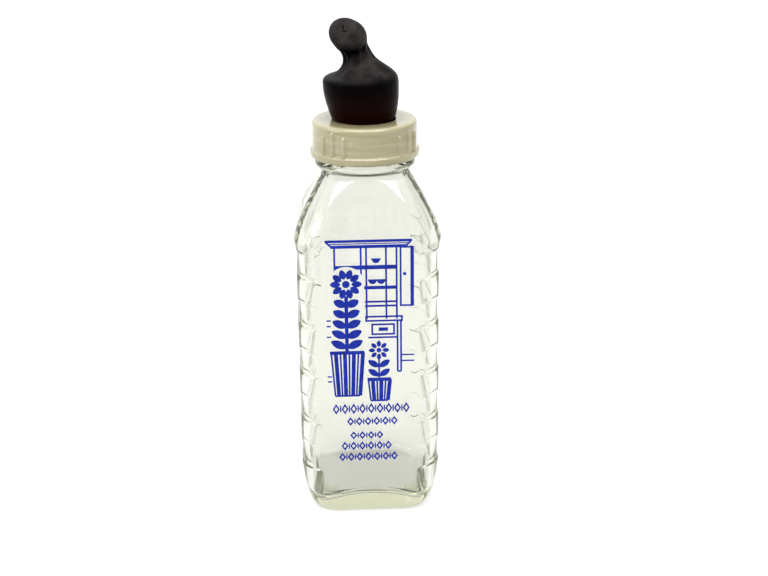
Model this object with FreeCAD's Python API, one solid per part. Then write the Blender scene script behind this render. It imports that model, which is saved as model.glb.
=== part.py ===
import FreeCAD, Part
import math
import os

# Glass feeding bottle with a screw collar and a rubber teat.
# Millimetres. +Z is up, the origin is the middle of the base, and the printed panel faces -Y.

# ---- glass body ----
BODY_HALF = 29.0            # half the width across the flats
BODY_CORNER = 12.7          # plan radius of the four upright corners
WALL = 3.2                  # wall of the body
HEEL_HEIGHT = 24.0          # the walls draw in below this height
HEEL_INSET = 6.0            # and have moved in this far at the base
HEEL_POWER = 1.6            # of the superellipse between the two
FLOOR_TOP = 13.0            # height of the crown of the inside floor
FLOOR_RADIUS = 55.0         # the inside floor is a dome of this radius
CAVITY_BOTTOM = 5.6         # inside height at the corners, before the dome
CAVITY_ROUND = 3.0          # rounding at the bottom of the cavity
PUSH_UP_RADIUS = 18.0       # hollow under the base
PUSH_UP_DEPTH = 1.6

# ---- grip bands on the two sides and the corners ----
BAND_BOTTOM = 21.5          # lower edge of the lowest recess
BAND_HEIGHT = 10.4          # a recess and a raised band are equally tall
BAND_DEPTH = 0.6
BAND_COUNT = 5
BAND_CORNER = 13.0          # plan radius of the recessed surface
PANEL_HALF = 21.0           # the plain front and back panels are this far each way

# ---- shoulder ----
SHOULDER_BOTTOM = BAND_BOTTOM + (2 * BAND_COUNT - 1) * BAND_HEIGHT
SHOULDER_WIDEST = 119.6
SHOULDER_HALF = 29.8
SHOULDER_TOP = 144.6
SHOULDER_POWER = 1.35       # how the half width falls away: convex, steeper towards the neck
FLAT_POWER = 0.4            # how the four flats narrow until the section is round

# ---- neck ----
NECK_RADIUS = 17.4
BORE_RADIUS = 13.6
BEAD_RADIUS = 20.45
BEAD_BOTTOM = 145.0
BEAD_TOP = 149.8
LIP_TOP = 161.0
LIP_ROUND = 1.0

# ---- screw thread, right-handed ----
PITCH = 5.0
GLASS_THREAD_RADIUS = 18.5
GLASS_THREAD_START = 152.6
GLASS_THREAD_TURNS = 1.1
COLLAR_THREAD_RADIUS = 17.9
COLLAR_THREAD_TURNS = 1.2
COLLAR_THREAD_FIRST = 0.25  # turns from the glass thread's start
THREAD_ROOT = 2.3
THREAD_CREST = 1.2
THREAD_SINK = 0.4           # how far a thread is sunk into its wall

# ---- collar ----
COLLAR_BOTTOM = 150.0
COLLAR_TOP = 164.9
COLLAR_RADIUS = 21.3
COLLAR_BORE = 19.2
COLLAR_EDGE = 1.5
COLLAR_HOLE = 12.6
COLLAR_LIP = 0.6            # rounding of the hole's upper edge
CUFF_RADIUS = 22.3
CUFF_TOP = 153.0
RIB_GROUPS = 4
RIB_GROUP_START = 51.4      # degrees from the front towards +X
RIB_SPACING = 13.35         # degrees
RIB_RADIUS = 0.95
RIB_REACH = 21.25
RIB_TOP = 160.3
RIB_MIDDLE_TOP = 162.0

# ---- teat ----
FLANGE_RADIUS = 18.2
FLANGE_THICK = 2.2
TEAT_WALL = 1.7
SLOPED_WALL = 2.6           # level thickness above the widest ring, where the wall slopes
TEAT_SECTIONS = (           # height, centre x, centre y, radius
    (162.0, -0.2, 0.0, 11.6),
    (165.0, -0.4, 0.0, 12.0),
    (167.2, -0.5, 0.0, 13.0),
    (170.5, -0.7, 0.0, 14.0),
    (174.5, -0.9, 0.0, 14.6),
    (178.5, -1.3, 0.0, 14.9),
    (181.6, -1.1, 0.0, 14.0),
    (183.6, -0.4, 0.0, 11.4),
    (186.2, -0.8, 0.2, 8.2),
    (189.6, -2.2, 0.4, 5.8),
    (192.8, -3.8, -0.4, 5.9),
    (196.2, -5.5, -2.6, 7.1),
    (199.4, -6.4, -3.7, 7.3),
    (202.6, -7.0, -3.7, 6.0),
    (204.4, -7.4, -3.6, 4.0),
    (205.4, -7.6, -3.5, 1.6),
)
TIP_SECTIONS = 3            # the hollow stops this many sections short of the tip
SLIT_LENGTH = 2.6
SLIT_WIDTH = 0.3
SLIT_CENTRE = (-7.0, 200.4)  # x and height of the crossed feeding slits

# ---- print on the front panel ----
PRINT_BASE = 2.0            # the drawing's own heights count from here
INK = 0.1                   # thickness of the fired enamel
LINE = 0.75                 # usual width of a drawn line


def vector(x, y, z):
    return FreeCAD.Vector(x, y, z)


def rounded_square(half, corner, z, half_depth=None):
    """Closed wire: a square with round corners, level at height z."""
    depth = half if half_depth is None else half_depth
    edges = []
    centres = ((half - corner, depth - corner), (corner - half, depth - corner),
               (corner - half, corner - depth), (half - corner, corner - depth))
    arcs = []
    for index, (x, y) in enumerate(centres):
        angles = [math.radians(90.0 * index + turn) for turn in (0.0, 45.0, 90.0)]
        arcs.append([vector(x + corner * math.cos(a), y + corner * math.sin(a), z) for a in angles])
    for index, points in enumerate(arcs):
        edges.append(Part.Arc(*points).toShape())
        edges.append(Part.LineSegment(points[2], arcs[(index + 1) % 4][0]).toShape())
    return Part.Wire(edges)


def prism(wire, height):
    return Part.Face(wire).extrude(vector(0, 0, height))


def outline(start, *steps):
    """Closed face in the XZ plane. A step is an end point, or a pair of a mid point and an end point."""
    edges = []
    here = start
    for step in steps + (start,):
        if isinstance(step[0], tuple):
            middle, end = step
            edges.append(Part.Arc(vector(here[0], 0, here[1]), vector(middle[0], 0, middle[1]),
                                  vector(end[0], 0, end[1])).toShape())
        else:
            end = step
            edges.append(Part.LineSegment(vector(here[0], 0, here[1]), vector(end[0], 0, end[1])).toShape())
        here = end
    return Part.Face(Part.Wire(edges))


def lathe(face):
    return face.revolve(vector(0, 0, 0), vector(0, 0, 1), 360)


def corner_arc(centre_r, centre_z, radius, start_deg):
    """Mid point and end point of a quarter arc that turns on from start_deg."""
    points = []
    for turn in (45.0, 90.0):
        angle = math.radians(start_deg + turn)
        points.append((centre_r + radius * math.cos(angle), centre_z + radius * math.sin(angle)))
    return tuple(points)


def heel_inset(z):
    """How far the outside walls have drawn in at a height."""
    down = max(1.0 - z / HEEL_HEIGHT, 0.0)
    return HEEL_INSET * (1.0 - (1.0 - down ** HEEL_POWER) ** (1.0 / HEEL_POWER))


def heel_wire(half, corner, z, extra=0.0):
    inset = heel_inset(z) + extra
    return rounded_square(half - inset, corner - 0.6 * inset, z)


def shoulder_loft(half_bottom, half_widest, flat_bottom, half_top, z_bottom):
    """Solid that runs from the square body to the round neck."""
    wires = [rounded_square(half_bottom, half_bottom - flat_bottom, z_bottom)]
    for share in (0.0, 0.15, 0.35, 0.55, 0.75, 0.9, 1.0):
        z = SHOULDER_WIDEST + share * (SHOULDER_TOP - SHOULDER_WIDEST)
        half = half_widest - (half_widest - half_top) * share ** SHOULDER_POWER
        flat = max(flat_bottom * (1.0 - share) ** FLAT_POWER, 0.4)
        wires.append(rounded_square(half, half - flat, z))
    return Part.makeLoft(wires, True, False)


def thread(root_radius, crest_radius, start_z, start_turn, turns):
    """Right-handed screw thread whose middle passes start_z at start_turn."""
    sink = math.copysign(THREAD_SINK, root_radius - crest_radius)
    inner = root_radius + sink
    profile = Part.makePolygon([
        vector(inner, 0, -THREAD_ROOT / 2), vector(crest_radius, 0, -THREAD_CREST / 2),
        vector(crest_radius, 0, THREAD_CREST / 2), vector(inner, 0, THREAD_ROOT / 2),
        vector(inner, 0, -THREAD_ROOT / 2)])
    helix = Part.makeHelix(PITCH, PITCH * turns, root_radius)
    solid = Part.Wire(helix.Edges).makePipeShell([profile], True, True)
    solid.rotate(vector(0, 0, 0), vector(0, 0, 1), 360.0 * start_turn)
    solid.translate(vector(0, 0, start_z))
    return solid


def glass_outside():
    body = prism(rounded_square(BODY_HALF, BODY_CORNER, HEEL_HEIGHT), SHOULDER_BOTTOM - HEEL_HEIGHT)
    shoulder = shoulder_loft(BODY_HALF, SHOULDER_HALF, BODY_HALF - BODY_CORNER, NECK_RADIUS, SHOULDER_BOTTOM)
    body = body.fuse(shoulder)
    # The front and back panels stay flat past the widest part of the shoulder.
    panel_slab = Part.makeBox(4 * BODY_HALF, 2 * BODY_HALF, LIP_TOP, vector(-2 * BODY_HALF, -BODY_HALF, 0))
    body = body.common(panel_slab)
    heights = (0.0, 0.3, 0.8, 2.0, 4.0, 7.0, 11.0, 16.0, HEEL_HEIGHT)
    heel = Part.makeLoft([heel_wire(BODY_HALF, BODY_CORNER, z) for z in heights], True, True)
    return body.fuse(heel)


def band_recesses():
    """Rings cut into the sides and corners, which leave the front and back panels whole."""
    cuts = []
    for index in range(BAND_COUNT):
        z = BAND_BOTTOM + 2 * index * BAND_HEIGHT
        ring = Part.makeBox(4 * BODY_HALF, 4 * BODY_HALF, BAND_HEIGHT, vector(-2 * BODY_HALF, -2 * BODY_HALF, z))
        core = prism(rounded_square(BODY_HALF - BAND_DEPTH, BAND_CORNER, z, BODY_HALF), BAND_HEIGHT)
        panels = Part.makeBox(2 * PANEL_HALF, 4 * BODY_HALF, BAND_HEIGHT, vector(-PANEL_HALF, -2 * BODY_HALF, z))
        cuts.append(ring.cut(core).cut(panels))
    return cuts


def glass_neck():
    bead_middle = (BEAD_TOP + BEAD_BOTTOM) / 2
    profile = outline(
        (0.0, SHOULDER_TOP - 2.0),
        (NECK_RADIUS, SHOULDER_TOP - 2.0),
        (NECK_RADIUS, BEAD_BOTTOM),
        ((BEAD_RADIUS, bead_middle), (NECK_RADIUS, BEAD_TOP)),
        (NECK_RADIUS, LIP_TOP - LIP_ROUND),
        corner_arc(NECK_RADIUS - LIP_ROUND, LIP_TOP - LIP_ROUND, LIP_ROUND, 0.0),
        (0.0, LIP_TOP))
    screw = thread(NECK_RADIUS, GLASS_THREAD_RADIUS, GLASS_THREAD_START, 0.0, GLASS_THREAD_TURNS)
    return lathe(profile).fuse(screw)


def glass_cavity():
    half = BODY_HALF - WALL
    corner = BODY_CORNER - WALL
    wires = []
    for turn in (0.0, 25.0, 50.0, 75.0):
        angle = math.radians(turn)
        z = CAVITY_BOTTOM + CAVITY_ROUND * (1.0 - math.cos(angle))
        wires.append(heel_wire(half, corner, z, CAVITY_ROUND * (1.0 - math.sin(angle))))
    wires += [heel_wire(half, corner, z) for z in (CAVITY_BOTTOM + CAVITY_ROUND + 1.0, 13.0, 17.0, HEEL_HEIGHT)]
    walls = prism(rounded_square(half, corner, HEEL_HEIGHT), SHOULDER_BOTTOM - HEEL_HEIGHT)
    body = Part.makeLoft(wires, True, True).fuse(walls)
    body = body.cut(Part.makeSphere(FLOOR_RADIUS, vector(0, 0, FLOOR_TOP - FLOOR_RADIUS)))
    shoulder = shoulder_loft(half, half, half - corner, BORE_RADIUS, SHOULDER_BOTTOM)
    mouth = Part.makeCylinder(BORE_RADIUS, LIP_TOP - SHOULDER_TOP + 4.0, vector(0, 0, SHOULDER_TOP - 2.0))
    return body.fuse(shoulder).fuse(mouth)


def push_up():
    radius = (PUSH_UP_RADIUS ** 2 + PUSH_UP_DEPTH ** 2) / (2 * PUSH_UP_DEPTH)
    return Part.makeSphere(radius, vector(0, 0, PUSH_UP_DEPTH - radius))


def glass_bottle():
    solid = glass_outside()
    for cut in band_recesses():
        solid = solid.cut(cut)
    solid = solid.fuse(glass_neck())
    return solid.cut(glass_cavity()).cut(push_up())


def screw_collar():
    plate_bottom = LIP_TOP + FLANGE_THICK
    shell = outline(
        (COLLAR_BORE, COLLAR_BOTTOM),
        (CUFF_RADIUS - 0.6, COLLAR_BOTTOM),
        corner_arc(CUFF_RADIUS - 0.6, COLLAR_BOTTOM + 0.6, 0.6, -90.0),
        (CUFF_RADIUS, CUFF_TOP - 0.5),
        corner_arc(CUFF_RADIUS - 0.5, CUFF_TOP - 0.5, 0.5, 0.0),
        (COLLAR_RADIUS, CUFF_TOP),
        (COLLAR_RADIUS, COLLAR_TOP - COLLAR_EDGE),
        corner_arc(COLLAR_RADIUS - COLLAR_EDGE, COLLAR_TOP - COLLAR_EDGE, COLLAR_EDGE, 0.0),
        (COLLAR_HOLE + COLLAR_LIP, COLLAR_TOP),
        corner_arc(COLLAR_HOLE + COLLAR_LIP, COLLAR_TOP - COLLAR_LIP, COLLAR_LIP, 90.0),
        (COLLAR_HOLE, plate_bottom),
        (COLLAR_BORE, plate_bottom))
    solid = lathe(shell)
    for group in range(RIB_GROUPS):
        for place in (-1, 0, 1):
            top = RIB_MIDDLE_TOP if place == 0 else RIB_TOP
            angle = math.radians(RIB_GROUP_START + group * 360.0 / RIB_GROUPS + place * RIB_SPACING)
            foot = vector(RIB_REACH * math.sin(angle), -RIB_REACH * math.cos(angle), COLLAR_BOTTOM + 1.5)
            bar = Part.makeCylinder(RIB_RADIUS, top - foot.z, foot)
            solid = solid.fuse(bar.fuse(Part.makeSphere(RIB_RADIUS, vector(foot.x, foot.y, top))))
    start_z = GLASS_THREAD_START + (COLLAR_THREAD_FIRST - 0.5) * PITCH
    screw = thread(COLLAR_BORE, COLLAR_THREAD_RADIUS, start_z, COLLAR_THREAD_FIRST, COLLAR_THREAD_TURNS)
    return solid.fuse(screw)


def teat_loft(sections):
    circles = []
    for z, x, y, radius in sections:
        circles.append(Part.Wire(Part.Circle(vector(x, y, z), vector(0, 0, 1), radius).toShape()))
    return Part.makeLoft(circles, True, False)


def rubber_teat():
    outside = teat_loft(TEAT_SECTIONS)
    flange = Part.makeCylinder(FLANGE_RADIUS, FLANGE_THICK, vector(0, 0, LIP_TOP))
    widest = max(TEAT_SECTIONS, key=lambda section: section[3])[0]
    hollow = [(LIP_TOP - 1.0,) + TEAT_SECTIONS[0][1:3] + (TEAT_SECTIONS[0][3] - TEAT_WALL,)]
    for z, x, y, radius in TEAT_SECTIONS[:-TIP_SECTIONS]:
        hollow.append((z, x, y, radius - (SLOPED_WALL if z > widest else TEAT_WALL)))
    solid = outside.fuse(flange).cut(teat_loft(hollow))
    x, z = SLIT_CENTRE
    reach = TEAT_SECTIONS[0][3]
    for width, height in ((SLIT_LENGTH, SLIT_WIDTH), (SLIT_WIDTH, SLIT_LENGTH)):
        solid = solid.cut(Part.makeBox(width, reach, height, vector(x - width / 2, -reach - 4.0, z - height / 2)))
    return solid


# ---- drawing on the panel: every mark is a thin solid that stands on the glass ----

def mark(wire):
    face = Part.Face(wire)
    normal = face.normalAt(0, 0)
    thickness = -INK if normal.y > 0 else INK
    return face.extrude(normal * thickness)


def panel_point(x, z):
    return vector(x, -BODY_HALF, z)


def polygon(points):
    corners = [panel_point(x, z) for x, z in points]
    return mark(Part.makePolygon(corners + corners[:1]))


def line(x0, z0, x1, z1, width=LINE):
    length = math.hypot(x1 - x0, z1 - z0)
    across_x = -(z1 - z0) / length * width / 2
    across_z = (x1 - x0) / length * width / 2
    return polygon([(x0 + across_x, z0 + across_z), (x1 + across_x, z1 + across_z),
                    (x1 - across_x, z1 - across_z), (x0 - across_x, z0 - across_z)])


def disc(x, z, radius):
    return mark(Part.Wire(Part.Circle(panel_point(x, z), vector(0, 1, 0), radius).toShape()))


def leaf(x, z, length, width, degrees):
    """A pointed leaf: two arcs from its foot at x, z to its tip."""
    angle = math.radians(degrees)
    along = (math.cos(angle), math.sin(angle))

    def place(run, side):
        return panel_point(x + run * along[0] - side * along[1], z + run * along[1] + side * along[0])

    foot = place(0, 0)
    tip = place(length, 0)
    sides = [Part.Arc(foot, place(length / 2, side * width / 2), tip).toShape() for side in (1, -1)]
    return mark(Part.Wire(sides))


def daisy(x, z, radius, petals):
    """A flower head: pointed petals round an eye."""
    marks = [disc(x, z, radius * 0.24)]
    for index in range(petals):
        angle = 360.0 * index / petals
        foot_x = x + radius * 0.34 * math.cos(math.radians(angle))
        foot_z = z + radius * 0.34 * math.sin(math.radians(angle))
        marks.append(leaf(foot_x, foot_z, radius * 0.66, radius * 0.42, angle))
    return marks


def pot(x, z, width, height, stripes):
    """A striped flower pot that stands on z, with a rim."""
    foot = width * 0.36
    marks = [line(x - foot, z, x + foot, z)]
    for index in range(stripes + 1):
        share = 2.0 * index / stripes - 1.0
        wide = LINE if index % 2 == 0 else 2.2 * LINE
        marks.append(line(x + share * foot, z, x + share * width * 0.46, z + height, wide))
    marks.append(line(x - width / 2, z + height, x + width / 2, z + height, 2 * LINE))
    return marks


def joined(marks):
    solid = marks[0].multiFuse(marks[1:])
    return solid.removeSplitter()


def frame_outline(x0, z0, x1, z1, width=LINE):
    """The four sides of an upright rectangle."""
    return [line(x0, z0 - width / 2, x0, z1 + width / 2, width), line(x1, z0 - width / 2, x1, z1 + width / 2, width),
            line(x0, z0, x1, z0, width), line(x0, z1, x1, z1, width)]


def dresser():
    """Line drawing of a kitchen dresser: cornice, open shelves with bowls, counter and drawer."""
    marks = [line(-17.4, 120.0, 17.2, 120.0, 1.1), line(-15.2, 117.7, 15.2, 117.7, 1.3)]
    marks += [line(-17.2, 120.0, -14.9, 117.7), line(17.0, 120.0, 14.9, 117.7), line(-15.8, 118.9, 15.8, 118.9, 0.4)]
    for x, low in ((-13.7, 100.0), (-3.2, 100.0), (-1.1, 87.0), (6.8, 87.0), (11.0, 87.0)):
        marks.append(line(x, low, x, 117.7))
    for z, width in ((109.0, 1.7), (100.4, 1.4), (94.4, 0.8), (92.6, 0.8)):
        marks.append(line(-13.7, z, 11.0, z, width))
    # Narrow side panel with a knob.
    marks += frame_outline(12.6, 92.6, 17.0, 117.2)
    marks += [line(17.2, 92.3, 17.2, 117.5, 1.4), disc(14.2, 106.0, 0.7)]
    # Bowls on the shelves.
    for x, z in ((2.8, 109.8), (1.4, 101.0), (4.8, 101.0)):
        marks.append(disc(x, z + 2.6, 1.7).common(Part.makeBox(10, 2, 2.6, vector(x - 5, -BODY_HALF - 1, z))))
        marks.append(line(x - 1.9, z + 2.6, x + 1.9, z + 2.6, 0.6))
    # Counter, drawer and legs.
    marks += frame_outline(-1.4, 86.2, 13.0, 88.0)
    marks += frame_outline(1.0, 80.4, 9.8, 84.6)
    marks += [line(3.6, 82.5, 7.4, 82.5, 1.5), line(-1.0, 79.0, 11.2, 79.0)]
    marks += [line(11.2, 64.0, 11.2, 86.2), line(12.6, 64.0, 12.6, 86.2), line(11.2, 64.0, 12.6, 64.0)]
    # Wall and floor lines beside it.
    for x0, x1, z in ((12.6, 18.0, 71.2), (12.6, 18.0, 68.6), (-17.4, -15.6, 86.6), (-17.4, -15.6, 84.2),
                      (-17.4, -15.6, 79.6), (-17.4, -15.6, 62.2), (-17.4, -15.6, 60.0)):
        marks.append(line(x0, z, x1, z, 0.6))
    return joined(marks)


def enamel_picture():
    """Two potted daisies in front of a dresser, whose lines stop short of the plants."""
    clear = [disc(-9.3, 102.0, 7.4), disc(3.6, 73.4, 4.6)]
    clear.append(polygon([(-15.6, 58.0), (-1.8, 58.0), (-1.8, 100.0), (-15.6, 100.0)]))
    clear.append(polygon([(-2.0, 51.0), (9.6, 51.0), (9.6, 70.0), (-2.0, 70.0)]))
    clear.append(polygon([(-1.8, 79.4), (-0.6, 79.4), (-0.6, 70.0), (-1.8, 70.0)]))
    furniture = dresser()
    for area in clear:
        furniture = furniture.cut(area)
    marks = pot(-9.3, 53.6, 14.0, 19.0, 7)
    marks.append(line(-9.3, 72.0, -9.3, 97.0, 1.5))
    marks += daisy(-9.3, 102.0, 6.4, 10)
    for level in range(5):
        for degrees in (26.0, 154.0):
            marks.append(leaf(-9.3, 74.6 + 4.5 * level, 7.2 - 0.4 * level, 3.4, degrees))
    marks += pot(3.6, 51.2, 9.6, 9.4, 5)
    marks.append(line(3.6, 60.4, 3.6, 70.0))
    marks += daisy(3.6, 73.4, 4.2, 8)
    for level in range(2):
        for degrees in (35.0, 145.0):
            marks.append(leaf(3.6, 62.0 + 4.0 * level, 5.4, 2.6, degrees))
    drawing = Part.makeCompound(furniture.Solids + joined(marks).Solids)
    drawing.translate(vector(0, 0, PRINT_BASE))
    return drawing


def lozenge(x, z, half_width, half_height, width):
    """A diamond drawn as an outline."""
    outer = polygon([(x - half_width, z), (x, z + half_height), (x + half_width, z), (x, z - half_height)])
    shrink = 1.0 - width * math.hypot(half_width, half_height) / (half_width * half_height)
    inner = polygon([(x - half_width * shrink, z), (x, z + half_height * shrink),
                     (x + half_width * shrink, z), (x, z - half_height * shrink)])
    return outer.cut(inner)


def enamel_caption():
    """Five rows of diamonds and dashes under the picture."""
    marks = []
    # Height and middle of each row, how many diamonds it has and how tall they are.
    rows = ((47.7, 0.2, 9, 4.8), (42.0, 0.6, 6, 4.0), (35.7, -1.8, 4, 3.6), (30.9, -1.9, 6, 4.0), (25.9, -1.2, 7, 4.0))
    step = 3.6
    for z, middle, count, height in rows:
        for index in range(count):
            x = middle + (index - (count - 1) / 2.0) * step
            marks.append(lozenge(x, z, 1.45, height / 2, 0.62))
            if index:
                marks.append(line(x - step / 2, z - height * 0.3, x - step / 2, z + height * 0.3, 0.55))
    drawing = joined(marks)
    drawing.translate(vector(0, 0, PRINT_BASE))
    return drawing


def main():
    os.makedirs("parts", exist_ok=True)
    nodes = {
        "glass_bottle": glass_bottle,
        "screw_collar": screw_collar,
        "rubber_teat": rubber_teat,
        "enamel_picture": enamel_picture,
        "enamel_caption": enamel_caption,
    }
    for name, build in nodes.items():
        shape = build()
        shape.exportStep(os.path.join("parts", name + ".step"))
        box = shape.BoundBox
        print(name, "valid", shape.isValid(), "solids", len(shape.Solids),
              "volume cm3 %.2f" % (shape.Volume / 1000.0),
              "z %.1f to %.1f" % (box.ZMin, box.ZMax))


main()
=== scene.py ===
import math

import bpy
import numpy as np
from mathutils import Euler, Matrix, Vector


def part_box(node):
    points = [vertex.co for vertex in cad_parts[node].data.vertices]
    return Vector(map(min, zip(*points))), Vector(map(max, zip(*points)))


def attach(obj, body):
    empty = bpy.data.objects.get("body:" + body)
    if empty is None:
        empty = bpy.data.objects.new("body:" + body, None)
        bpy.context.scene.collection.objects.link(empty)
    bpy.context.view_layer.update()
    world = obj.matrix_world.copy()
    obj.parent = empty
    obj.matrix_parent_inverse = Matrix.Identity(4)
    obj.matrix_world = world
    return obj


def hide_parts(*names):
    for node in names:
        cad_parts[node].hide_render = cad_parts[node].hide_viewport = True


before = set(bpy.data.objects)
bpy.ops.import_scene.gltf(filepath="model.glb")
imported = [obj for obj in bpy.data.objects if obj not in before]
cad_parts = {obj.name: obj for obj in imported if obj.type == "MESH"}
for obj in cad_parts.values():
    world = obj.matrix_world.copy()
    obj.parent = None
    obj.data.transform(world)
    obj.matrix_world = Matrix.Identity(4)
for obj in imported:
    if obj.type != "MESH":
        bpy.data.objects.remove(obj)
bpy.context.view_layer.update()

# Lengths below are millimetres; meshes are made in metres by one scale at the end.
MM = 0.001

# ---- glass body: the outside of the CAD node, with a lower and more domed floor inside ----
BODY_HALF = 29.0
BODY_CORNER = 12.7
WALL = 3.2
HEEL_HEIGHT = 24.0
HEEL_INSET = 6.0
HEEL_POWER = 1.6
HEEL_CORNER_SHARE = 0.6     # the corner radius shrinks by this share of the heel's inset
BAND_BOTTOM = 21.5
BAND_HEIGHT = 10.4
BAND_DEPTH = 0.6
BAND_COUNT = 5
BAND_EDGE = 0.42            # half the height of the slope between a recess and a raised band
PANEL_HALF = 21.0
PANEL_EDGE = 2.6
PANEL_FACE = BODY_HALF - 0.03   # the front and back stay this flat, just clear of the print
SHOULDER_WIDEST = 119.6
SHOULDER_HALF = 29.8
SHOULDER_TOP = 144.6
SHOULDER_POWER = 1.35
FLAT_POWER = 0.4
NECK_RADIUS = 17.4
BORE_RADIUS = 13.6
BEAD_RADIUS = 20.4
BEAD_BOTTOM = 145.0
BEAD_TOP = 149.8
LIP_ROUND = 1.0
PUSH_UP_DEPTH = 0.9         # the underside is a shallow dome, so the bottle stands on the edge of its foot
FLOOR_CROWN = 9.5           # inside floor at the middle
FLOOR_DROP = 1.2            # how much lower it is at the middle of a wall
FLOOR_CORNER_DROP = 5.0     # and how much more it drops into a corner
FLOOR_FILLET = 4.4
FOOT_LEVEL = 12.0           # the inside walls have drawn in as the outside has at this height
RIPPLE = 0.12               # unevenness of the blown inside

# ---- points round the glass and the collar ----
FLAT_STEPS = 18             # along each flat side of the glass
CORNER_STEPS = 52           # round each corner
RING_SIZE = 4 * (FLAT_STEPS + CORNER_STEPS)
COLLAR_STEPS = 576

# ---- screw thread ----
PITCH = 5.0
GLASS_THREAD_HEIGHT = 1.1
GLASS_THREAD_START = 152.6
GLASS_THREAD_TURNS = 1.1
COLLAR_THREAD_HEIGHT = 1.3
COLLAR_THREAD_START = 151.35
COLLAR_THREAD_TURN = 0.25
COLLAR_THREAD_TURNS = 1.2
THREAD_HALF = 0.9           # half the width of a thread at mid height

# ---- collar ----
COLLAR_RADIUS = 21.3
COLLAR_BORE = 19.2
COLLAR_EDGE = 1.7
COLLAR_HOLE = 12.6
COLLAR_LIP = 0.7
PLATE = 1.7
CUFF_RADIUS = 22.3
CUFF_HEIGHT = 3.0
RIB_GROUPS = 4
RIB_GROUP_START = 51.4
RIB_SPACING = 13.35
RIB_HALF = 1.0
RIB_HEIGHT = 0.9
RIB_TOP = 161.2
RIB_MIDDLE_TOP = 163.0

# ---- teat ----
TEAT_STEP = 0.42            # grid of the field that the teat's surface is taken from
TEAT_WALL = 1.7
BEND_WALL = 2.2
FLANGE_RADIUS = 18.2
FLANGE_THICK = 2.2
FLANGE_LEVEL = 162.1        # middle of the flange
BULB_START = 163.2
BULB_RISE = 15.8
BULB_ROOT = 12.1
BULB_WIDEST = 15.25
ROOF_TOP = 191.2
ROOF_SLOPE = 0.61
NECK_START = (-1.0, 0.8, 183.0)
NECK_END = (-3.2, 1.2, 192.5)
NECK_WIDTH = 5.0
BEND = (-4.9, 0.3, 197.2)
BEND_RADII = (6.1, 6.0, 6.1)
HEAD = (-6.4, -3.4, 198.9)
HEAD_RADII = (7.2, 6.8, 6.8)
HEAD_LEAN = 0.17            # sideways for each millimetre up
FACE = np.array((-0.22, -0.94, 0.26)) / np.linalg.norm((-0.22, -0.94, 0.26))
FACE_REACH = 5.2            # from the middle of the head to its flat face
CREASE_DEPTH = 0.42
SLIT_CORNER = (-0.7, 0.0, 0.9)  # from the middle of the face
SLIT_UP = 2.4
SLIT_ACROSS = 1.5
SLIT_HALF = 0.28            # half the width of a slit
SLIT_DEPTH = 1.3

# ---- camera: a tripod in front of the print, a little to the left and looking down ----
CAMERA_PLACE = (-19.8, -580.3, 300.2)
CAMERA_PAN = 2.67
CAMERA_TILT = 19.745
CAMERA_ROLL = -0.552
CAMERA_LENS = 68.83

# ---- studio, in metres ----
FLOOR_HALF = 40.0
LIGHT_TARGET = (0.0, 0.0, 0.09)
WORLD_BRIGHT_SIDE = (-0.10, 0.30, 0.95)
LIGHT_BOUNCES = 24          # enough for light that runs along inside the glass walls


# ======== mesh helpers ========

def smooth(low, high, value):
    """0 below low, 1 above high, and an S-curve between."""
    share = np.clip((value - low) / (high - low), 0.0, 1.0)
    return share * share * (3.0 - 2.0 * share)


def new_piece(name, points, faces, material):
    mesh = bpy.data.meshes.new(name)
    mesh.from_pydata((np.asarray(points) * MM).tolist(), [], faces)
    mesh.validate()
    mesh.materials.append(material)
    mesh.shade_smooth()
    piece = bpy.data.objects.new(name, mesh)
    bpy.context.scene.collection.objects.link(piece)
    return piece


def ring_faces(rings, size, closed=False):
    """Quads between rings of equal size, wrapped round each ring."""
    index = np.arange(size)
    after = (index + 1) % size
    faces = []
    for row in range(rings if closed else rings - 1):
        here = row * size
        above = ((row + 1) % rings) * size
        faces.append(np.stack([here + index, here + after, above + after, above + index], 1))
    return np.concatenate(faces).tolist()


# ======== glass bottle ========

def corner_turns():
    """Degrees round one corner, from a side panel to the front, close together at the panel's edge."""
    panel_edge = 90.0 - math.degrees(math.asin((PANEL_HALF - BODY_HALF + BODY_CORNER) / BODY_CORNER))
    fine = np.linspace(0.0, 90.0, 721)
    density = 1.0 + 4.0 * np.exp(-((fine - panel_edge) / 4.0) ** 2)
    total = np.concatenate([[0.0], np.cumsum((density[1:] + density[:-1]) / 2)])
    wanted = np.linspace(0.0, total[-1], CORNER_STEPS + 1)[:-1]
    return np.interp(wanted, total, fine)


CORNER_TURNS = corner_turns()


def square_section(half, corner):
    """Points and outward normals of a square with round corners, anticlockwise from above."""
    flat = half - corner
    run = np.linspace(-1.0, 1.0, FLAT_STEPS + 1)[:-1] * flat
    mirrored = 90.0 - np.append(CORNER_TURNS, 90.0)[:0:-1]
    points = []
    normals = []
    for side in range(4):
        # The corners alternate, so that the close steps are always beside the front or back panel.
        angle = np.radians(mirrored if side % 2 else CORNER_TURNS)
        arc = np.stack([np.cos(angle), np.sin(angle)], 1)
        local = np.concatenate([np.stack([np.full(FLAT_STEPS, half), run], 1), flat + corner * arc])
        facing = np.concatenate([np.tile([1.0, 0.0], (FLAT_STEPS, 1)), arc])
        turn = math.pi / 2 * side
        spin = np.array([[math.cos(turn), math.sin(turn)], [-math.sin(turn), math.cos(turn)]])
        points.append(local @ spin)
        normals.append(facing @ spin)
    return np.concatenate(points), np.concatenate(normals)


def drawn_in(half, corner, inset):
    """The square section drawn in by an inset, as the heel draws it in."""
    return square_section(half - inset, corner - HEEL_CORNER_SHARE * inset)


def soft_limit(values, limit, softness=0.02):
    """values, held between -limit and limit with a slightly rounded break."""
    size = np.abs(values)
    return np.sign(values) * (size - softness * np.logaddexp(0.0, (size - limit) / softness))


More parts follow.
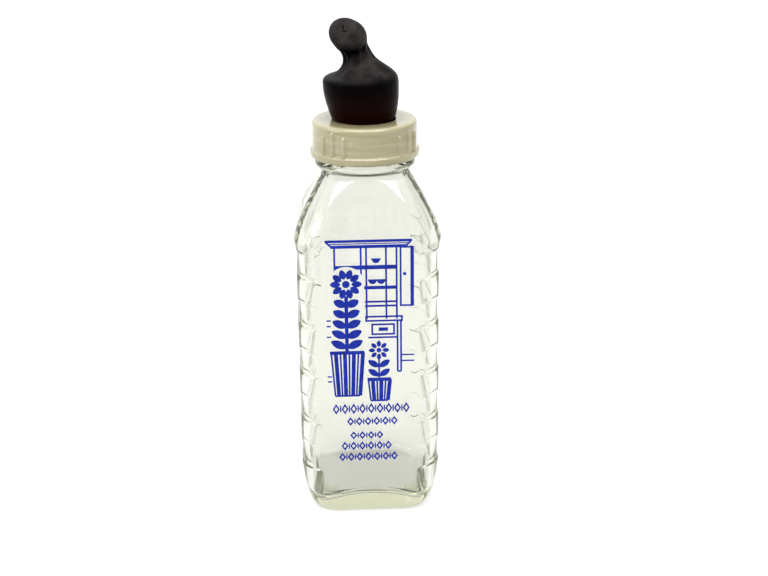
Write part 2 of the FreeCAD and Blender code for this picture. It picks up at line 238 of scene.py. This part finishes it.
def recess_share(z):
    """1 at the height of a recess, 0 at the height of a raised band."""
    share = 0.0
    for index in range(BAND_COUNT):
        low = BAND_BOTTOM + 2 * index * BAND_HEIGHT
        share += smooth(low - BAND_EDGE, low + BAND_EDGE, z)
        share -= smooth(low + BAND_HEIGHT - BAND_EDGE, low + BAND_HEIGHT + BAND_EDGE, z)
    return share


def heel_inset(z):
    """How far the walls have drawn in towards the base at a height."""
    down = max(1.0 - z / HEEL_HEIGHT, 0.0)
    return HEEL_INSET * (1.0 - (1.0 - down ** HEEL_POWER) ** (1.0 / HEEL_POWER))


def shoulder_shape(z, half_widest, flat_bottom, half_top):
    """Half width and corner radius at a height: square below the shoulder, round at its top."""
    share = min(max((z - SHOULDER_WIDEST) / (SHOULDER_TOP - SHOULDER_WIDEST), 0.0), 1.0)
    half = half_widest - (half_widest - half_top) * share ** SHOULDER_POWER
    flat = max(flat_bottom * (1.0 - share) ** FLAT_POWER, 0.05)
    return half, half - flat


def at_height(points, z):
    return np.column_stack([points, np.full(len(points), z)])


def outside_ring(z):
    """The outside of the body and shoulder at one height."""
    bulge = SHOULDER_HALF - BODY_HALF
    widest = BODY_HALF + bulge * smooth(SHOULDER_WIDEST - 5.0, SHOULDER_WIDEST + 0.5, z)
    half, corner = shoulder_shape(z, widest, BODY_HALF - BODY_CORNER, NECK_RADIUS)
    points, normals = drawn_in(half, corner, heel_inset(z))
    across = np.abs(points[:, 0])
    depth = BAND_DEPTH * recess_share(z) * smooth(PANEL_HALF - PANEL_EDGE, PANEL_HALF + PANEL_EDGE, across)
    points = points - normals * depth[:, None]
    points[:, 1] = soft_limit(points[:, 1], PANEL_FACE)
    return at_height(points, z)


def ring_directions():
    """Unit directions from the axis to the ring points where the neck is round."""
    points, _ = square_section(1.0, 0.995)
    return points / np.linalg.norm(points, axis=1)[:, None]


def thread_lift(angle, z, start_z, start_turn, turns, height):
    """How far a right-handed thread stands out at each angle and height."""
    lift = np.zeros_like(angle)
    for lap in range(3):
        turn = (angle / (2 * math.pi) - start_turn) % 1.0 + lap
        middle = start_z + PITCH * turn
        band = 1.0 - smooth(THREAD_HALF * 0.55, THREAD_HALF * 1.45, np.abs(z - middle))
        ends = smooth(0.0, 0.06, turn) * (1.0 - smooth(turns - 0.06, turns, turn))
        lift = np.maximum(lift, height * band * ends)
    return lift


def floor_height(points, scale):
    """Inside floor: a low crown that falls away most into the four corners."""
    x = points[:, 0] / scale
    y = points[:, 1] / scale
    return FLOOR_CROWN - FLOOR_DROP * (x * x + y * y) - FLOOR_CORNER_DROP * x * x * y * y


def ripple(points):
    """Long uneven waves of blown glass, in millimetres."""
    x, y, z = points.T
    waves = np.sin(0.21 * x + 0.13 * z + 1.0) + np.sin(0.17 * y - 0.10 * z + 2.3)
    waves = waves + np.sin(0.31 * z + 0.08 * x + 0.4) * 0.8 + np.sin(0.26 * (x + y) + 0.05 * z)
    return RIPPLE * waves / 2.4


def outside_heights():
    """Heights of the outside rings, close together at each band's edge."""
    edges = [BAND_BOTTOM + index * BAND_HEIGHT for index in range(2 * BAND_COUNT)]
    heights = [0.0, 0.08, 0.25, 0.5, 0.85, 1.3, 1.9, 2.7, 3.7, 5.0, 6.5, 8.2, 10.2, 12.5, 15.0, 18.0]
    for edge in edges:
        heights += [edge + offset * BAND_EDGE for offset in (-1.1, -0.7, -0.35, 0.0, 0.35, 0.7, 1.1)]
        heights.append(edge + BAND_HEIGHT / 2)
    heights = [z for z in heights if z < SHOULDER_WIDEST - 4.0]
    heights += np.linspace(SHOULDER_WIDEST - 3.6, SHOULDER_WIDEST + 6.0, 14).tolist()
    heights += np.linspace(SHOULDER_WIDEST + 7.0, SHOULDER_TOP - 0.2, 18).tolist()
    return heights


def glass_rings():
    """Rings of the closed glass surface, up the outside, over the lip and down the inside."""
    lip_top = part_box("glass_bottle")[1].z / MM
    circle = ring_directions()
    angle = np.arctan2(circle[:, 1], circle[:, 0])
    rings = []
    # Underside, from the middle out to the standing ring.
    foot, _ = drawn_in(BODY_HALF, BODY_CORNER, HEEL_INSET)
    for share in np.linspace(0.06, 0.98, 15):
        rings.append(at_height(foot * share, PUSH_UP_DEPTH * (1.0 - share ** 2)))
    # Heel, walls and shoulder.
    for z in outside_heights():
        rings.append(outside_ring(z))
    # Bead under the collar, then the threaded neck and the lip.
    for share in np.linspace(0.0, 1.0, 17):
        z = BEAD_BOTTOM + share * (BEAD_TOP - BEAD_BOTTOM)
        bulge = (BEAD_RADIUS - NECK_RADIUS) * math.sin(math.pi * share) ** 0.6
        rings.append(at_height(circle * (NECK_RADIUS + bulge), z))
    for z in np.arange(BEAD_TOP + 0.4, lip_top - LIP_ROUND, 0.3):
        lift = thread_lift(angle, z, GLASS_THREAD_START, 0.0, GLASS_THREAD_TURNS, GLASS_THREAD_HEIGHT)
        radius = NECK_RADIUS + lift
        rings.append(at_height(circle * radius[:, None], z))
    for centre, start in ((NECK_RADIUS - LIP_ROUND, 0.0), (BORE_RADIUS + LIP_ROUND, 90.0)):
        for turn in np.radians(np.linspace(start, start + 90.0, 7)):
            rings.append(at_height(circle * (centre + LIP_ROUND * math.cos(turn)),
                                   lip_top - LIP_ROUND + LIP_ROUND * math.sin(turn)))
    # Inside: bore, shoulder, walls, then the floor.
    inner_half = BODY_HALF - WALL
    inner_corner = BODY_CORNER - WALL
    foot_inset = heel_inset(FOOT_LEVEL)
    for z in np.linspace(lip_top - LIP_ROUND - 1.0, SHOULDER_TOP + 0.6, 6):
        rings.append(at_height(circle * BORE_RADIUS, z))
    for z in np.linspace(SHOULDER_TOP, FLOOR_CROWN + 4.0, 56):
        half, corner = shoulder_shape(z, inner_half, inner_half - inner_corner, BORE_RADIUS)
        points, normals = drawn_in(half, corner, heel_inset(z))
        wall = at_height(points, z)
        wall[:, :2] += normals * ripple(wall)[:, None]
        rings.append(wall)
    half = inner_half - foot_inset
    corner = inner_corner - HEEL_CORNER_SHARE * foot_inset
    wall, _ = square_section(half, corner)
    start = floor_height(wall, inner_half)
    for turn in np.radians(np.linspace(0.0, 90.0, 9)):
        inset = FLOOR_FILLET * (1.0 - math.cos(turn))
        points, _ = square_section(half - inset, corner - inset)
        rings.append(np.column_stack([points, start + FLOOR_FILLET * (1.0 - math.sin(turn))]))
    foot, _ = square_section(half - FLOOR_FILLET, corner - FLOOR_FILLET)
    for share in np.linspace(1.0, 0.05, 16)[1:]:
        points = foot * share
        rings.append(np.column_stack([points, floor_height(points, inner_half)]))
    return rings


def make_glass(material):
    rings = glass_rings()
    points = np.concatenate(rings + [[[0.0, 0.0, PUSH_UP_DEPTH]], [[0.0, 0.0, FLOOR_CROWN]]])
    faces = ring_faces(len(rings), RING_SIZE)
    # Fans close the underside and the inside floor.
    under = len(rings) * RING_SIZE
    last = (len(rings) - 1) * RING_SIZE
    for index in range(RING_SIZE):
        after = (index + 1) % RING_SIZE
        faces.append([under, after, index])
        faces.append([under + 1, last + index, last + after])
    return new_piece("bottle_glass", points, faces, material)


# ======== collar ========

def arc_run(centre_r, centre_z, radius, start, stop, steps):
    angles = np.radians(np.linspace(start, stop, steps))
    return [(centre_r + radius * math.cos(a), centre_z + radius * math.sin(a)) for a in angles]


def collar_profile(low, top):
    """Closed section of the collar as (radius, height), outside first, then the inside."""
    cuff_top = low + CUFF_HEIGHT
    run = [(COLLAR_BORE + 0.4, low)]
    run += arc_run(CUFF_RADIUS - 0.8, low + 0.8, 0.8, -90.0, 0.0, 6)
    run += arc_run(CUFF_RADIUS - 0.7, cuff_top - 0.7, 0.7, 0.0, 80.0, 6)
    run += [(COLLAR_RADIUS, cuff_top + 0.25)]
    run += [(COLLAR_RADIUS, z) for z in np.linspace(cuff_top + 0.8, top - COLLAR_EDGE, 26)]
    run += arc_run(COLLAR_RADIUS - COLLAR_EDGE, top - COLLAR_EDGE, COLLAR_EDGE, 10.0, 90.0, 9)
    run += [(r, top - 0.05) for r in np.linspace(COLLAR_RADIUS - 3.0, COLLAR_HOLE + 1.8, 5)]
    run += arc_run(COLLAR_HOLE + COLLAR_LIP, top - COLLAR_LIP, COLLAR_LIP, 90.0, 180.0, 6)
    run += [(COLLAR_HOLE, top - PLATE), (COLLAR_HOLE + 3.0, top - PLATE), (COLLAR_BORE - 0.3, top - PLATE)]
    run += [(COLLAR_BORE, z) for z in np.arange(top - PLATE - 0.4, low + 0.4, -0.32)]
    return run


def rib_lift(angle, z):
    """How far the grip ribs stand out, in four groups of three."""
    lift = np.zeros_like(angle)
    for group in range(RIB_GROUPS):
        for place in (-1, 0, 1):
            middle = math.radians(RIB_GROUP_START + group * 360.0 / RIB_GROUPS + place * RIB_SPACING)
            along = (angle - middle + math.pi) % (2 * math.pi) - math.pi
            top = RIB_MIDDLE_TOP if place == 0 else RIB_TOP
            over = max(z - (top - RIB_HALF), 0.0)
            reach = np.hypot(along * COLLAR_RADIUS, over) / RIB_HALF
            rounded = np.sqrt(np.clip(1.0 - reach ** 2, 0.0, 1.0))
            lift = np.maximum(lift, RIB_HEIGHT * rounded)
    return lift


def make_collar(material):
    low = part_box("screw_collar")[0].z / MM
    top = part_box("screw_collar")[1].z / MM
    heading = np.linspace(0.0, 2 * math.pi, COLLAR_STEPS, endpoint=False)
    facing_front = (heading + math.pi / 2) % (2 * math.pi)
    circle = np.stack([np.cos(heading), np.sin(heading)], 1)
    rings = []
    for radius, z in collar_profile(low, top):
        radii = np.full(COLLAR_STEPS, radius)
        if radius > COLLAR_RADIUS - COLLAR_EDGE and z > low + 1.0:
            radii = np.maximum(radii, np.minimum(radius, COLLAR_RADIUS) + rib_lift(facing_front, z))
        if radius == COLLAR_BORE:
            radii = radii - thread_lift(heading, z, COLLAR_THREAD_START, COLLAR_THREAD_TURN,
                                        COLLAR_THREAD_TURNS, COLLAR_THREAD_HEIGHT)
        rings.append(at_height(circle * radii[:, None], z))
    faces = ring_faces(len(rings), COLLAR_STEPS, closed=True)
    return new_piece("collar_shell", np.concatenate(rings), faces, material)


# ======== teat ========

def smooth_min(first, second, blend):
    share = np.clip(0.5 + 0.5 * (second - first) / blend, 0.0, 1.0)
    return second + (first - second) * share - blend * share * (1.0 - share)


def smooth_max(first, second, blend):
    return -smooth_min(-first, -second, blend)


def capsule(p, start, end, radius):
    start = np.array(start)
    along = np.array(end) - start
    share = np.clip(((p - start) @ along) / (along @ along), 0.0, 1.0)
    return np.linalg.norm(p - start - share[..., None] * along, axis=-1) - radius


def ellipsoid(p, centre, radii):
    scaled = (p - np.array(centre)) / np.array(radii)
    size = np.linalg.norm(scaled, axis=-1)
    slope = np.linalg.norm(scaled / np.array(radii), axis=-1)
    return size * (size - 1.0) / np.maximum(slope, 1e-6)


def bulb_field(p, grow):
    """Distance-like field of the bulb and its root. grow is negative for the hollow."""
    x, y, z = p[..., 0], p[..., 1], p[..., 2]
    centre = -0.4 - 0.9 * smooth(164.0, 180.0, z)
    below = np.clip(1.0 - (z - BULB_START) / BULB_RISE, 0.0, 1.0)
    side = BULB_WIDEST - (BULB_WIDEST - BULB_ROOT) * below ** 2 + grow
    wall = (np.hypot(x - centre, y) - side) * 0.96
    reach = np.hypot(x - 0.3, y)
    # The shoulder is lower and squarer on the side that the tip leans to.
    lean = smooth(2.0, -9.0, x)
    sag = lean * (0.8 - 0.26 * np.maximum(reach - 12.0, 0.0))
    roof = (z - grow * 1.17 - ROOF_TOP + ROOF_SLOPE * reach + sag) * 0.854
    return smooth_max(wall, roof, 2.8 - 1.4 * lean)


def teat_field(p):
    """Negative inside the rubber."""
    x, y, z = p[..., 0], p[..., 1], p[..., 2]
    body = smooth_min(bulb_field(p, 0.0), capsule(p, NECK_START, NECK_END, NECK_WIDTH), 3.4)
    body = smooth_min(body, ellipsoid(p, BEND, BEND_RADII), 2.0)
    leaning = p + (z - HEAD[2])[..., None] * np.array((HEAD_LEAN, 0.0, 0.0))
    head = ellipsoid(leaning, HEAD, HEAD_RADII)
    face = (p - np.array(HEAD)) @ FACE - FACE_REACH
    head = smooth_max(head, face, 1.3)
    # The slumped tip folds tightly under its chin and runs smoothly into the neck behind.
    blend = 0.6 + 2.6 * smooth(-4.0, 1.0, y)
    outside = smooth_min(body, head, blend)
    # Creases run down from the neck across the shoulder.
    around = np.arctan2(y - 0.6, x + 1.6)
    creases = np.cos(7.0 * around + 0.22 * z) + 0.6 * np.cos(11.0 * around - 0.15 * z + 1.0)
    creases = creases * smooth(182.0, 186.0, z) * (1.0 - smooth(192.0, 196.0, z))
    outside = outside - CREASE_DEPTH * creases
    flange = smooth_max(np.hypot(x, y) - FLANGE_RADIUS, np.abs(z - FLANGE_LEVEL) - FLANGE_THICK / 2, 0.5)
    outside = np.minimum(np.maximum(outside, FLANGE_LEVEL - FLANGE_THICK / 2 - z), flange)
    neck_hollow = capsule(p, NECK_START, NECK_END, NECK_WIDTH - TEAT_WALL)
    hollow = smooth_min(bulb_field(p, -TEAT_WALL), neck_hollow, 2.6)
    hollow = smooth_min(hollow, ellipsoid(p, BEND, np.array(BEND_RADII) - BEND_WALL), 1.0)
    solid = np.maximum(outside, -hollow)
    return smooth_max(solid, -slit_field(p), 0.25)


def slit_field(p):
    """Negative inside the two feeding slits in the face, which meet at a corner."""
    face_point = p - (np.array(HEAD) + FACE * FACE_REACH + np.array(SLIT_CORNER))
    up = np.cross(np.cross(FACE, (0.0, 0.0, 1.0)), FACE)
    up = up / np.linalg.norm(up)
    over = np.cross(up, FACE)
    slits = []
    for run, across, length in ((up, over, SLIT_UP), (over, up, SLIT_ACROSS)):
        along = face_point @ run
        beyond = along - np.clip(along, 0.0, length)
        line = np.hypot(beyond, face_point @ across)
        slits.append(np.maximum(line - SLIT_HALF, np.abs(face_point @ FACE) - SLIT_DEPTH))
    return np.minimum(*slits)


def surface_net(field, low, high, step):
    """Quads on the zero surface of a field, one vertex for each grid cell that the surface crosses."""
    axes = [np.arange(a, b + step, step) for a, b in zip(low, high)]
    grid = np.stack(np.meshgrid(*axes, indexing="ij"), -1)
    values = field(grid)
    cells = tuple(n - 1 for n in values.shape)
    corners = [(i, j, k) for i in (0, 1) for j in (0, 1) for k in (0, 1)]
    total = np.zeros(cells + (3,))
    count = np.zeros(cells)

    def shifted(corner):
        return values[tuple(slice(c, c + n) for c, n in zip(corner, cells))]

    for first in corners:
        for axis in range(3):
            if first[axis]:
                continue
            second = tuple(c + (n == axis) for n, c in enumerate(first))
            a, b = shifted(first), shifted(second)
            crossed = (a < 0) != (b < 0)
            share = np.where(crossed, a / np.where(crossed, a - b, 1.0), 0.0)
            spot = np.array(first, float) + share[..., None] * (np.arange(3) == axis)
            total += spot * crossed[..., None]
            count += crossed
    active = count > 0
    number = np.full(cells, -1)
    number[active] = np.arange(active.sum())
    places = np.argwhere(active) + total[active] / count[active][:, None]
    points = np.array(low) + places * step
    faces = []
    for axis in range(3):
        one, two = [n for n in range(3) if n != axis]
        inner = [slice(1, n) for n in cells]
        inner[axis] = slice(0, cells[axis])
        ahead = list(inner)
        ahead[axis] = slice(1, cells[axis] + 1)
        a, b = values[tuple(inner)], values[tuple(ahead)]
        crossed = (a < 0) != (b < 0)
        cell = np.argwhere(crossed)
        cell[:, one] += 1
        cell[:, two] += 1
        ring = []
        for back_one, back_two in ((1, 1), (0, 1), (0, 0), (1, 0)):
            spot = cell.copy()
            spot[:, one] -= back_one
            spot[:, two] -= back_two
            ring.append(number[tuple(spot.T)])
        quads = np.stack(ring, 1)
        outward = (a < 0)[crossed]
        if axis == 1:
            outward = ~outward
        faces.append(np.where(outward[:, None], quads, quads[:, ::-1]))
    return points, np.concatenate(faces)


def settle(points, field, rounds=2):
    """Moves points onto the zero surface along the field's slope."""
    probe = 0.05
    longest_move = 0.2
    for _ in range(rounds):
        steps = [field(points + probe * axis) - field(points - probe * axis) for axis in np.eye(3)]
        slope = np.stack(steps, 1) / (2 * probe)
        size = np.maximum((slope ** 2).sum(1), 0.25)
        move = -field(points)[:, None] * slope / size[:, None]
        points = points + np.clip(move, -longest_move, longest_move)
    return points


def make_teat(material):
    reach = FLANGE_RADIUS + 1.0
    low = (-reach, -reach, FLANGE_LEVEL - FLANGE_THICK)
    high = (reach, reach, HEAD[2] + HEAD_RADII[2] + 1.5)
    points, faces = surface_net(teat_field, low, high, TEAT_STEP)
    points = settle(points, teat_field)
    return new_piece("teat_rubber", points, faces.tolist(), material)


# ======== materials ========

def new_material(name):
    material = bpy.data.materials.new(name)
    material.use_nodes = True
    nodes = material.node_tree.nodes
    return material, nodes, material.node_tree.links, nodes["Principled BSDF"]


def noise_node(nodes, links, scale, detail=4.0, roughness=0.5, stretch=(1.0, 1.0, 1.0)):
    place = nodes.new("ShaderNodeTexCoord")
    spread = nodes.new("ShaderNodeMapping")
    spread.inputs["Scale"].default_value = stretch
    noise = nodes.new("ShaderNodeTexNoise")
    noise.inputs["Scale"].default_value = scale
    noise.inputs["Detail"].default_value = detail
    noise.inputs["Roughness"].default_value = roughness
    links.new(place.outputs["Object"], spread.inputs["Vector"])
    links.new(spread.outputs["Vector"], noise.inputs["Vector"])
    return noise


def ramp_node(nodes, links, source, stops):
    """A colour ramp through (place, (red, green, blue)) stops."""
    ramp = nodes.new("ShaderNodeValToRGB")
    for end in (0, -1):
        ramp.color_ramp.elements[end].position = stops[end][0]
        ramp.color_ramp.elements[end].color = stops[end][1] + (1.0,)
    for place, colour in stops[1:-1]:
        ramp.color_ramp.elements.new(place).color = colour + (1.0,)
    links.new(source, ramp.inputs["Fac"])
    return ramp


def range_node(nodes, links, source, low, high, out_low=0.0, out_high=1.0):
    node = nodes.new("ShaderNodeMapRange")
    node.interpolation_type = "SMOOTHSTEP"
    node.inputs["From Min"].default_value = low
    node.inputs["From Max"].default_value = high
    node.inputs["To Min"].default_value = out_low
    node.inputs["To Max"].default_value = out_high
    links.new(source, node.inputs["Value"])
    return node.outputs["Result"]


def math_node(nodes, links, operation, first, second):
    node = nodes.new("ShaderNodeMath")
    node.operation = operation
    for socket, value in zip(node.inputs, (first, second)):
        if isinstance(value, (int, float)):
            socket.default_value = value
        else:
            links.new(value, socket)
    return node.outputs["Value"]


def mix_node(nodes, links, share, first, second):
    node = nodes.new("ShaderNodeMix")
    node.data_type = "RGBA"
    links.new(share, node.inputs["Factor"])
    for socket, value in ((node.inputs["A"], first), (node.inputs["B"], second)):
        if isinstance(value, tuple):
            socket.default_value = value + (1.0,)
        else:
            links.new(value, socket)
    return node.outputs["Result"]


def place_outputs(nodes, links):
    """The outputs X, Y and Z of a point's place in the frame, in metres."""
    place = nodes.new("ShaderNodeTexCoord")
    split = nodes.new("ShaderNodeSeparateXYZ")
    links.new(place.outputs["Object"], split.inputs["Vector"])
    return split.outputs


def bump_node(nodes, links, height, strength, distance, normal=None):
    node = nodes.new("ShaderNodeBump")
    node.inputs["Strength"].default_value = strength
    node.inputs["Distance"].default_value = distance
    links.new(height, node.inputs["Height"])
    if normal is not None:
        links.new(normal, node.inputs["Normal"])
    return node.outputs["Normal"]


def glass_material():
    material, nodes, links, shader = new_material("clear_old_glass")
    shader.inputs["Base Color"].default_value = (0.865, 0.87, 0.85, 1.0)
    shader.inputs["Transmission Weight"].default_value = 1.0
    shader.inputs["IOR"].default_value = 1.52
    wear = noise_node(nodes, links, 160.0, 6.0, 0.7)
    rubbed = range_node(nodes, links, wear.outputs["Fac"], 0.5, 0.85, 0.0, 0.09)
    links.new(rubbed, shader.inputs["Roughness"])
    waves = noise_node(nodes, links, 55.0, 2.0, 0.4)
    links.new(bump_node(nodes, links, waves.outputs["Fac"], 0.10, 0.0006), shader.inputs["Normal"])
    tint = nodes.new("ShaderNodeVolumeAbsorption")
    tint.inputs["Color"].default_value = (0.75, 0.755, 0.62, 1.0)
    tint.inputs["Density"].default_value = 46.0
    links.new(tint.outputs["Volume"], nodes["Material Output"].inputs["Volume"])
    return material


def collar_material():
    material, nodes, links, shader = new_material("yellowed_cream_plastic")
    cloud = noise_node(nodes, links, 60.0, 4.0, 0.6)
    streaks = noise_node(nodes, links, 70.0, 3.0, 0.5, (0.5, 0.5, 7.0))
    colour = ramp_node(nodes, links, streaks.outputs["Fac"], (
        (0.30, (0.240, 0.214, 0.118)), (0.52, (0.290, 0.261, 0.152)), (0.74, (0.335, 0.303, 0.188))))
    worn_share = range_node(nodes, links, cloud.outputs["Fac"], 0.60, 0.76)
    worn = mix_node(nodes, links, worn_share, colour.outputs["Color"], (0.33, 0.290, 0.205))
    # Painted shade: the top plate is painted darker, most of all close to the teat, where the teat shades
    # it.
    place = place_outputs(nodes, links)
    across = nodes.new("ShaderNodeCombineXYZ")
    links.new(place["X"], across.inputs["X"])
    links.new(place["Y"], across.inputs["Y"])
    radius = nodes.new("ShaderNodeVectorMath")
    radius.operation = "LENGTH"
    links.new(across.outputs["Vector"], radius.inputs[0])
    near_teat = range_node(nodes, links, radius.outputs["Value"], 0.0195, 0.0145)
    on_top = range_node(nodes, links, place["Z"], 0.1625, 0.1645)
    teat_shade = math_node(nodes, links, "MULTIPLY", near_teat, on_top)
    # Mixes in the painted shade colour on the top plate near the teat.
    links.new(mix_node(nodes, links, teat_shade, worn, (0.20, 0.175, 0.095)), shader.inputs["Base Color"])
    shader.inputs["Subsurface Weight"].default_value = 0.15
    shader.inputs["Subsurface Radius"].default_value = (1.0, 0.85, 0.5)
    shader.inputs["Subsurface Scale"].default_value = 0.003
    shader.inputs["IOR"].default_value = 1.5
    shader.inputs["Coat Weight"].default_value = 0.6
    shader.inputs["Coat Roughness"].default_value = 0.12
    scuffed = range_node(nodes, links, cloud.outputs["Fac"], 0.45, 0.75, 0.17, 0.42)
    links.new(scuffed, shader.inputs["Roughness"])
    grain = noise_node(nodes, links, 900.0, 3.0, 0.6)
    shallow = bump_node(nodes, links, streaks.outputs["Fac"], 0.25, 0.0005)
    links.new(bump_node(nodes, links, grain.outputs["Fac"], 0.10, 0.0002, shallow), shader.inputs["Normal"])
    return material


def rubber_material():
    material, nodes, links, shader = new_material("aged_dark_rubber")
    place = place_outputs(nodes, links)
    geometry = nodes.new("ShaderNodeNewGeometry")
    facing = nodes.new("ShaderNodeSeparateXYZ")
    links.new(geometry.outputs["Normal"], facing.inputs["Vector"])
    cloud = noise_node(nodes, links, 190.0, 6.0, 0.62)
    fine = noise_node(nodes, links, 1500.0, 3.0, 0.6)
    # Dust and a grey haze of aged rubber lie on what faces up and on the tip, and the low sides show dark
    # red. The ridges are painted lighter grey too: partly rubbed wear, partly a painted highlight on the
    # creases.
    high = range_node(nodes, links, place["Z"], 0.179, 0.187)
    upward = range_node(nodes, links, facing.outputs["Z"], -0.25, 0.75)
    patchy = range_node(nodes, links, cloud.outputs["Fac"], 0.30, 0.72, 0.30, 1.0)
    tip = range_node(nodes, links, place["Z"], 0.192, 0.198)
    roof = math_node(nodes, links, "MULTIPLY", high, upward)
    settled = math_node(nodes, links, "MAXIMUM", roof, tip)
    dust = math_node(nodes, links, "MULTIPLY", settled, patchy)
    # Painted highlight: ridges are painted lighter by their pointiness, on top of rubbed wear.
    ridge = range_node(nodes, links, geometry.outputs["Pointiness"], 0.50, 0.56)
    rubbed = math_node(nodes, links, "MULTIPLY", ridge, high)
    dust_and_ridge_highlight = math_node(nodes, links, "MAXIMUM", dust, rubbed)
    low_red = range_node(nodes, links, place["Z"], 0.181, 0.165)
    dark = mix_node(nodes, links, low_red, (0.0006, 0.0005, 0.0004), (0.007, 0.0006, 0.0005))
    links.new(mix_node(nodes, links, dust_and_ridge_highlight, dark, (0.030, 0.026, 0.026)), shader.inputs["Base Color"])
    shader.inputs["Specular IOR Level"].default_value = 0.02
    links.new(range_node(nodes, links, dust_and_ridge_highlight, 0.0, 0.7, 0.30, 0.60), shader.inputs["Roughness"])
    bumps = bump_node(nodes, links, cloud.outputs["Fac"], 0.5, 0.0006)
    links.new(bump_node(nodes, links, fine.outputs["Fac"], 0.25, 0.0001, bumps), shader.inputs["Normal"])
    return material


def enamel_material():
    material, nodes, links, shader = new_material("fired_blue_enamel")
    cloud = noise_node(nodes, links, 420.0, 5.0, 0.6)
    colour = ramp_node(nodes, links, cloud.outputs["Fac"], (
        (0.30, (0.003, 0.010, 0.19)), (0.75, (0.009, 0.031, 0.34))))
    links.new(colour.outputs["Color"], shader.inputs["Base Color"])
    shader.inputs["Specular IOR Level"].default_value = 0.12
    satin = range_node(nodes, links, cloud.outputs["Fac"], 0.3, 0.7, 0.28, 0.5)
    links.new(satin, shader.inputs["Roughness"])
    links.new(bump_node(nodes, links, cloud.outputs["Fac"], 0.2, 0.00005), shader.inputs["Normal"])
    return material


# ======== object ========

def build_object():
    """Three pieces stand for their CAD nodes, and the two layers of print keep theirs."""
    glass = make_glass(glass_material())
    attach(glass, "bottle")
    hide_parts("glass_bottle")
    collar = make_collar(collar_material())
    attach(collar, "collar")
    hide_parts("screw_collar")
    teat = make_teat(rubber_material())
    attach(teat, "teat")
    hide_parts("rubber_teat")
    enamel = enamel_material()
    for name in ("enamel_picture", "enamel_caption"):
        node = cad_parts[name]
        node.data.materials.clear()
        node.data.materials.append(enamel)


# ======== studio ========

def make_floor():
    """A pale sweep that is lit through from below, so that the bottle has hardly a shadow."""
    mesh = bpy.data.meshes.new("floor")
    corners = [(-1, -1), (1, -1), (1, 1), (-1, 1)]
    mesh.from_pydata([(FLOOR_HALF * x, FLOOR_HALF * y, 0) for x, y in corners], [], [(0, 1, 2, 3)])
    floor = bpy.data.objects.new("floor", mesh)
    bpy.context.scene.collection.objects.link(floor)
    material, _, _, shader = new_material("floor_paper")
    shader.inputs["Base Color"].default_value = (0.27, 0.27, 0.266, 1.0)
    shader.inputs["Roughness"].default_value = 0.9
    shader.inputs["Emission Color"].default_value = (1.0, 1.0, 0.99, 1.0)
    shader.inputs["Emission Strength"].default_value = 0.68
    mesh.materials.append(material)


def make_light(name, place, size, power):
    light = bpy.data.lights.new(name, "AREA")
    light.shape = "RECTANGLE"
    light.size, light.size_y = size
    light.energy = power
    holder = bpy.data.objects.new(name, light)
    bpy.context.scene.collection.objects.link(holder)
    toward = Vector(LIGHT_TARGET) - Vector(place)
    holder.location = place
    holder.rotation_euler = toward.to_track_quat("-Z", "Y").to_euler()


def make_world():
    """A pale room, brightest overhead and dimmest low behind the camera."""
    world = bpy.data.worlds.new("studio")
    bpy.context.scene.world = world
    world.use_nodes = True
    nodes, links = world.node_tree.nodes, world.node_tree.links
    place = nodes.new("ShaderNodeTexCoord")
    toward = nodes.new("ShaderNodeVectorMath")
    toward.operation = "DOT_PRODUCT"
    toward.inputs[1].default_value = WORLD_BRIGHT_SIDE
    links.new(place.outputs["Generated"], toward.inputs[0])
    share = range_node(nodes, links, toward.outputs["Value"], -1.0, 1.0)
    ramp = ramp_node(nodes, links, share, (
        (0.0, (0.60, 0.61, 0.55)), (0.35, (0.66, 0.67, 0.61)), (0.62, (0.82, 0.83, 0.79)),
        (0.85, (1.15, 1.15, 1.15)), (1.0, (1.7, 1.7, 1.7))))
    links.new(ramp.outputs["Color"], nodes["Background"].inputs["Color"])


def make_camera():
    data = bpy.data.cameras.new("camera")
    data.lens = CAMERA_LENS
    data.sensor_width = 36.0
    data.clip_start = 0.01
    data.clip_end = 100.0
    camera = bpy.data.objects.new("camera", data)
    bpy.context.scene.collection.objects.link(camera)
    aim = Euler((math.radians(90.0 - CAMERA_TILT), 0.0, math.radians(-CAMERA_PAN))).to_matrix()
    aim = aim @ Matrix.Rotation(math.radians(CAMERA_ROLL), 3, "Z")
    camera.matrix_world = Matrix.Translation([v * MM for v in CAMERA_PLACE]) @ aim.to_4x4()
    bpy.context.scene.camera = camera


def set_look():
    scene = bpy.context.scene
    scene.view_settings.view_transform = "Standard"
    scene.cycles.max_bounces = LIGHT_BOUNCES
    scene.cycles.transmission_bounces = LIGHT_BOUNCES
    # Light that is reflected along inside the glass walls counts as glossy.
    scene.cycles.glossy_bounces = LIGHT_BOUNCES
    scene.cycles.transparent_max_bounces = LIGHT_BOUNCES


build_object()
make_floor()
make_light("overhead", (0.0, -0.45, 1.5), (1.8, 0.7), 24.0)
make_light("left", (-1.5, -0.5, 0.8), (0.9, 0.9), 8.0)
make_world()
make_camera()
set_look()
